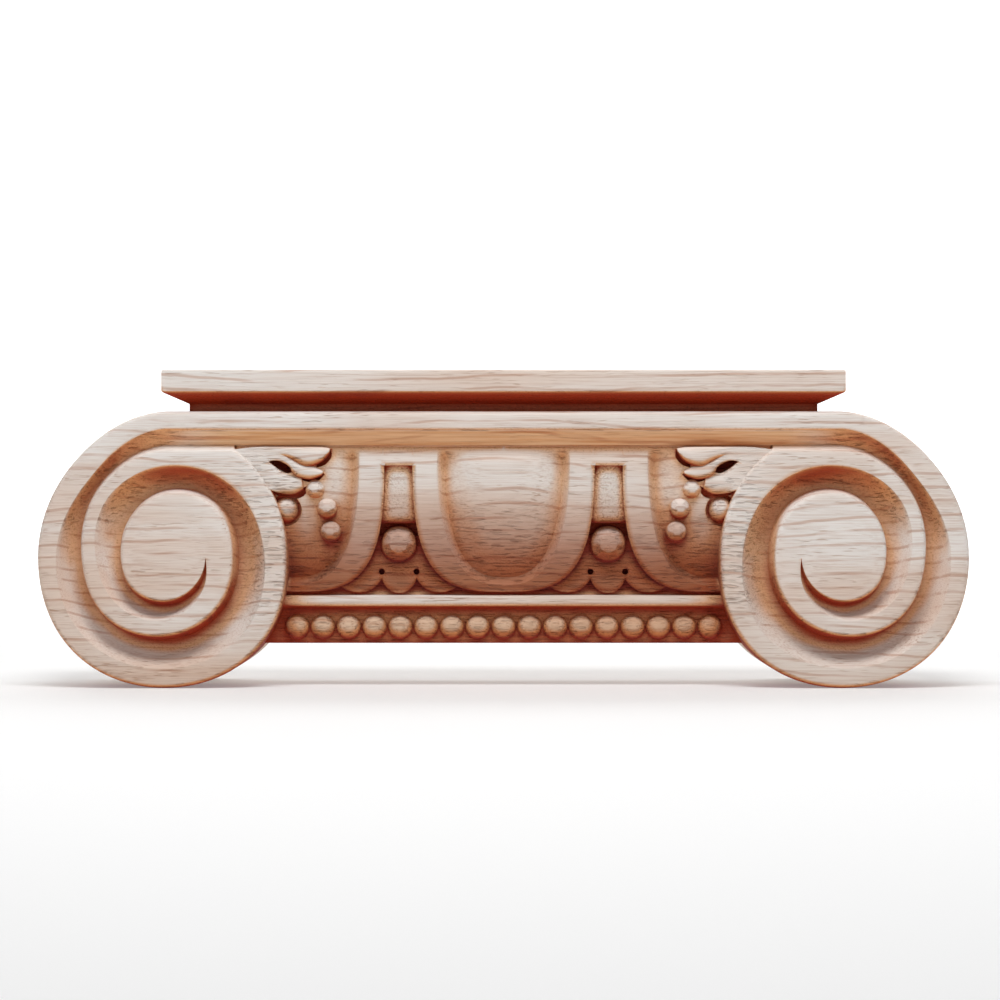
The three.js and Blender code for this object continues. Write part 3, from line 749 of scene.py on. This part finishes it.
petals = [
    petal_columns(
        [
            (-14, -0.4), (-10, 0.1), (-6.8, 0.3), (-2.6, 0.3),
            (0.8, 0.3), (4.2, 0.3), (7, 0.2), (8.5, -0.1),
        ],
        [
            (-14, -3), (-9.6, -2.8), (-6.2, -2.4), (-2.9, -1.7),
            (-0.5, -2.4), (3, -4.1), (6.4, -3.2), (8.3, -1.3),
        ],
        LEAF_DEPTH, 1,
    ),
    petal_columns(
        [
            (-13, -1), (-9.5, -0.8), (-6.2, -0.6), (-3.2, -0.9),
            (-0.7, -2.1), (2.6, -3.8), (4.8, -4.1), (6.9, -5.2),
        ],
        [
            (-13, -4), (-9.3, -3.8), (-6, -3.4), (-3.4, -3),
            (-1.2, -4.1), (0.6, -6.3), (3.8, -7.1), (6.7, -6.2),
        ],
        LEAF_DEPTH - 0.4, 0.8,
    ),
    petal_columns(
        [
            (-11.5, -3.2), (-8.5, -3.1), (-5.6, -3.2), (-4, -4.3),
            (-2.6, -5.2), (-0.6, -5.8), (1.9, -6.5),
        ],
        [
            (-9.4, -8.6), (-7, -9.2), (-4.9, -9.6), (-3.4, -10.1),
            (-1.6, -10.5), (0.4, -10.4), (2.4, -9.4),
        ],
        LEAF_DEPTH - 0.9, 0.8,
    ),
]
leaves = []
for columns in petals:
    leaves += both_sides("petal", columns)
for x, z in [(5, -9.3), (7.7, -13.7), (8.5, -19)]:
    berry_place = (x - EGG_SPACING, z + OVOLO_TOP, BERRY_CENTRE_DEPTH)
    berry = ball_columns(*berry_place, BERRY_RADIUS, BERRY_FACET, around=30, rings=9, sides=6)
    leaves += both_sides("berry", berry)
bud_place = (BUD_X - EGG_SPACING, BUD_Z + OVOLO_TOP, BUD_CENTRE_DEPTH)
leaves += both_sides("bud", ball_columns(*bud_place, BUD_RADIUS, facet=0, around=28, rings=8))

eyelet = sunk_columns(
    [(-5.4, -2.95), (-3.5, -2.8), (-1.8, -3.5), (-0.6, -4.4), (-0.25, -5.4)],
    [(-5.35, -3), (-4.2, -4.1), (-2.8, -5.1), (-1.4, -5.7), (-0.35, -5.55)],
)
eyelets = both_sides("eyelet", eyelet, EYELET_DEPTH)
under_top = sunk_columns(
    [(8.5, -0.2), (8.8, -1.7), (8.2, -2.9), (7.1, -3.9), (5.4, -4.4)],
    [(8.3, -0.2), (8, -1.2), (7.4, -2), (6.4, -2.6), (5.3, -3)],
)
under_middle = sunk_columns(
    [(2, -6.8), (2.4, -7.4), (4.6, -7.8), (6.1, -7.2), (7.2, -6)],
    [(1.9, -6.4), (3, -6.3), (4, -6.3), (5.2, -6), (6.8, -5.8)],
)
under_low = sunk_columns(
    [(-4.6, -9.6), (-4.2, -10.4), (-1.8, -11.5), (0.7, -11.6), (2.7, -10.7), (3.4, -9)],
    [(-4.5, -9.4), (-3.2, -9.7), (-1.4, -10), (0.4, -9.8), (1.8, -9.3), (3.2, -8.6)],
)
bud_reach = BUD_RADIUS + BUD_GROOVE
half_turn = np.linspace(0, math.pi, 9)
round_bud = sunk_columns(
    [(BUD_X + bud_reach * math.cos(a), BUD_Z + bud_reach * math.sin(a)) for a in half_turn],
    [(BUD_X + bud_reach * math.cos(a), BUD_Z - bud_reach * math.sin(a)) for a in half_turn],
)
gouges = []
for columns in (under_top, under_middle, under_low, round_bud):
    gouges += both_sides("gouge", columns, GOUGE_DEPTH)


# Bead course. A row of round beads under the fillet, from one volute to the other, each standing
# out of its ground by a little less than half.
BEAD_COUNT = 17
BEAD_PITCH = 5.95
BEAD_RADIUS = 2.9
BEAD_FACET = 0.5
BEAD_CENTRE_Z = 3.75
BEAD_CENTRE_DEPTH = 18.6
beads = []
for i in range(BEAD_COUNT):
    bead_place = ((i - (BEAD_COUNT - 1) / 2) * BEAD_PITCH, BEAD_CENTRE_Z, BEAD_CENTRE_DEPTH)
    bead = ball_columns(*bead_place, BEAD_RADIUS, BEAD_FACET, around=24, rings=7)
    beads.append(carve("bead", [bead]))


# The carved piece. Everything above is one block of wood, so the parts are united into a single
# closed surface, then the drilled holes and the leaves' eyelets are sunk into it.
def work(solid, tools, operation):
    for tool in tools:
        bpy.ops.object.select_all(action="DESELECT")
        bpy.context.view_layer.objects.active = solid
        solid.select_set(True)
        cut = solid.modifiers.new(operation.lower(), "BOOLEAN")
        cut.operation = operation
        cut.solver = "MANIFOLD"
        cut.object = tool
        bpy.ops.object.modifier_apply(modifier=cut.name)
        bpy.data.objects.remove(tool)
    return solid


def gather(solids):
    bpy.ops.object.select_all(action="DESELECT")
    for solid in solids:
        solid.select_set(True)
    bpy.context.view_layer.objects.active = solids[0]
    bpy.ops.object.join()
    return solids[0]


middle = work(eggs[1], [eggs[0], eggs[2]], "UNION")
work(middle, gouges, "DIFFERENCE")
work(middle, [*darts, gather(beads)], "UNION")
work(middle, [field], "INTERSECT")
capital = work(scroll, [body, abacus, middle, *leaves], "UNION")
work(capital, [gather(drills), *eyelets], "DIFFERENCE")
capital.name = "carved_capital"
bpy.ops.object.mode_set(mode="EDIT")
bpy.ops.mesh.select_all(action="SELECT")
bpy.ops.mesh.dissolve_degenerate(threshold=1e-6)
bpy.ops.object.mode_set(mode="OBJECT")


# Wood. Pale open-grained hardwood, left raw. The grain runs along the capital in broken lines with
# short pores, and painted shade makes the wood warmer and darker wherever the carving blocks light from
# above.
REACH = 0.014
RAYS = 36
GOLDEN_TURN = 2.39996
OFF_SURFACE = 0.0001
SMOOTHING_ROUNDS = 2
MOST_ON_OPEN_FRONT = 0.27
GRAIN_SPACING = 0.0029
VOLUTE_MIDDLE = 0.077
CREASE_ANGLE = math.radians(35)


def painted_shade(piece):
    """How much of the open air above and in front is shut off from each point, from 0 to 1: the amount
    of shade painted into the wood's colour.
    """
    mesh = piece.data
    faces = [tuple(face.vertices) for face in mesh.polygons]
    tree = BVHTree.FromPolygons([v.co for v in mesh.vertices], faces)
    upward = Vector((0, -0.5, 0.87)).to_track_quat("Z", "Y")
    ways = []
    for ray in range(RAYS):
        out, turn = math.sqrt((ray + 0.5) / RAYS), ray * GOLDEN_TURN
        way = Vector((out * math.cos(turn), out * math.sin(turn), math.sqrt(1 - out * out)))
        ways.append(upward @ way)
    shut = np.zeros(len(mesh.vertices))
    for i, vertex in enumerate(mesh.vertices):
        normal = vertex.normal
        start = vertex.co + normal * OFF_SURFACE
        for way in ways:
            if normal.dot(way) < 0.02:
                shut[i] += 1
                continue
            length = tree.ray_cast(start, way, REACH)[3]
            if length is not None:
                shut[i] += 1 - 0.5 * length / REACH
    shut /= RAYS
    edges = np.empty(len(mesh.edges) * 2, dtype=int)
    mesh.edges.foreach_get("vertices", edges)
    a, b = edges.reshape(-1, 2).T
    for _ in range(SMOOTHING_ROUNDS):
        total, parts = shut.copy(), np.ones(len(shut))
        for one, another in ((a, b), (b, a)):
            np.add.at(total, one, shut[another])
            np.add.at(parts, one, 1)
        shut = total / parts
    # Open front faces of the ridges take only a light painted shade.
    for i, vertex in enumerate(mesh.vertices):
        if vertex.normal.y < -0.97 and vertex.co.y < (WALL - RIDGE_DEPTH + 0.3) / 1000:
            shut[i] = min(shut[i], MOST_ON_OPEN_FRONT)
    return shut


# The painted shade is kept on the mesh for the wood's colour to read.
measure = capital.data.attributes.new("painted_shade", "FLOAT", "POINT")
measure.data.foreach_set("value", painted_shade(capital))


def paint(red, green, blue):
    """A colour as a screen shows it, from 0 to 255, as the light it sends back."""
    light = []
    for level in (red, green, blue):
        share = level / 255
        light.append(share / 12.92 if share < 0.04045 else ((share + 0.055) / 1.055) ** 2.4)
    return (*light, 1)


def metres(*sizes):
    return [size / 1000 for size in sizes]


def carved_wood():
    wood = bpy.data.materials.new("carved_wood")
    wood.use_nodes = True
    shader = wood.node_tree.nodes["Principled BSDF"]
    surface = Tone(wood.node_tree)
    place = surface.node("ShaderNodeTexCoord", {}, {}, "Object")
    x, y, z = place.axes()
    up = surface.node("ShaderNodeNewGeometry", {}, {}, "Normal").axes()[2]
    down = up * -1
    # The painted shade measured on the mesh: how much light from above and in front is shut off.
    shade = surface.node("ShaderNodeAttribute", {"attribute_name": "painted_shade"}, {}, "Fac")

    # The grain: wandering lines that break off, short pores, fine fibres and paler clouds.
    wander = place.stretched(14, 20, 30).noise() * 0.011 + place.stretched(90, 60, 160).noise() * 0.0012
    line = ((z + y * 0.3 + wander) * (math.tau / GRAIN_SPACING)).wave().ramp(0.6, 1.0)
    line = line * place.stretched(50, 300, 420).noise().ramp(0.4, 0.62)
    pores = place.stretched(230, 2600, 3200).noise(1).ramp(0.6, 0.74)
    pores = pores * place.stretched(30, 120, 200).noise().ramp(0.35, 0.65)
    fibre = place.stretched(70, 3500, 4200).noise(3)
    cloud = place.stretched(11, 90, 70).noise().ramp(0.35, 0.68)
    color = cloud.blend(paint(242, 235, 229), paint(232, 211, 196))
    color = color.stained((0.82, 0.73, 0.68), fibre.ramp(0.42, 0.72) * 0.7)
    color = color.stained((0.74, 0.56, 0.48), line * 0.8)
    color = color.stained((0.68, 0.49, 0.38), pores * (1 - shade.ramp(0.36, 0.5)) * 0.7)

    # Where the carving lies. Nothing behind the front gets painted shade, and the painted shade is
    # lighter on what faces up, on the volutes' outer sides and in the straight channel than their
    # shelter says.
    front = 1 - y.ramp(-0.007, -0.001)
    outer = abs(x).ramp(0.070, 0.096) * (1 - z.ramp(0.036, 0.046))
    channel_foot = metres(OVOLO_TOP + 0.1, OVOLO_TOP + 0.8)
    channel_top = metres(OVOLO_TOP + 3.6, OVOLO_TOP + 4.6)
    straight = z.within(channel_foot, channel_top) * (1 - abs(x).ramp(0.062, 0.082)) * front
    # Painted light: less painted shade on what faces up and on the volutes' outer sides, and most of it
    # taken out of the straight channel.
    shade = shade - up.ramp(0.05, 0.7) * 0.08 - outer * 0.12
    shade = shade * (1 - straight * 0.6) * front
    rough_cut = shade.ramp(0.34, 0.5)
    beside = abs(abs(x) - EGG_SPACING / 2000)
    shaft_sides = metres(SHAFT_TOP_HALF + 0.1, SHAFT_FOOT_HALF + 0.1)
    shaft_foot = metres(SHAFT_FOOT - 1, SHAFT_FOOT + 0.5)
    shaft_top = metres(SLOT_TOP - 0.4, SLOT_TOP + 0.6)
    shaft = (1 - beside.ramp(*shaft_sides)) * z.within(shaft_foot, shaft_top) * front
    between_volutes = (1 - abs(x).ramp(0.0485, 0.0505)) * front
    # The recessed field low between the volutes and along the bead course, which gets painted shade
    # below.
    low = between_volutes * z.within(metres(FILLET_TOP + 0.2, FILLET_TOP + 1.4), (0.014, 0.038))
    bead_row = between_volutes * (1 - z.ramp(*metres(FILLET_FOOT - 1.3, FILLET_FOOT - 0.3)))

    # The tone: warmer towards the floor and stippled in the grounds, with painted shade that is warmer
    # on what faces down, orange in the straight channel, brown low in the field and orange to deep
    # red-brown in the hollows.
    streak = place.stretched(45, 700, 1500).noise(3).ramp(0.4, 0.66)
    speckle = place.stretched(1900, 1900, 2300).noise(1)
    stipple = speckle.ramp(0.52, 0.74) * (rough_cut + shaft) * 0.55
    color = color.stained((0.90, 0.74, 0.60), streak * straight)
    color = color.stained((0.95, 0.89, 0.84), 1 - z.ramp(-0.008, 0.016))
    # Painted shade: warmer and darker on what faces down, away from the overhead light.
    color = color.stained((0.96, 0.66, 0.40), down.ramp(-0.1, 0.9) * (front - straight))
    # A fixed orange painted shade in the straight channel, in place of most of the overhead painted
    # shade.
    color = color.stained((1, 0.67, 0.40), straight)
    color = color.stained((0.70, 0.56, 0.46), stipple)
    # Painted shade: brown low between the volutes and warmer over the bead course.
    color = color.stained((0.50, 0.22, 0.12), low)
    color = color.stained((0.88, 0.68, 0.52), bead_row)
    # Painted shade from the overhead shadow measure: orange where it is half shut off, deep red-brown
    # where it is closed.
    color = color.stained((0.95, 0.64, 0.40), shade.ramp(0.33, 0.53))
    color = color.stained((0.47, 0.085, 0.015), shade.ramp(0.50, 0.80))

    # Torn fibres: where the tool came out across the grain, on undersides, beside the volutes'
    # inner ridges, low between the volutes and on the beads.
    toward = VOLUTE_MIDDLE - abs(x)
    chipped = toward.within((0.012, 0.024), (0.0295, 0.031))
    chipped = chipped * z.within((0.003, 0.012), (0.036, 0.046))
    grazed = down.within((0.08, 0.3), (0.6, 0.9)) * (1 - straight)
    torn = place.stretched(240, 900, 2300).noise(2).ramp(0.55, 0.68)
    torn = torn * grazed.or_more(low * 0.8).or_more(chipped).or_more(bead_row * 0.5) * front
    color = color.stained((0.74, 0.50, 0.38), torn * 0.3)

    pitted = speckle * (rough_cut + shaft * 2)
    height = fibre * 0.3 - pores * 0.3 - torn * 1.1 - pitted * 0.45
    bump_inputs = {"Strength": 0.9, "Distance": 0.0005, "Height": height}
    bump = surface.node("ShaderNodeBump", {}, bump_inputs, "Normal")
    finish = {"Base Color": color, "Roughness": 0.56 + fibre * 0.2, "Normal": bump}
    for socket, tone in finish.items():
        wood.node_tree.links.new(tone.socket, shader.inputs[socket])
    shader.inputs["Specular IOR Level"].default_value = 0.35
    return wood


capital.data.materials.clear()
capital.data.materials.append(carved_wood())
bpy.ops.object.select_all(action="DESELECT")
capital.select_set(True)
bpy.context.view_layer.objects.active = capital
bpy.ops.object.shade_smooth_by_angle(angle=CREASE_ANGLE)
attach(capital, "root")
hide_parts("capital")
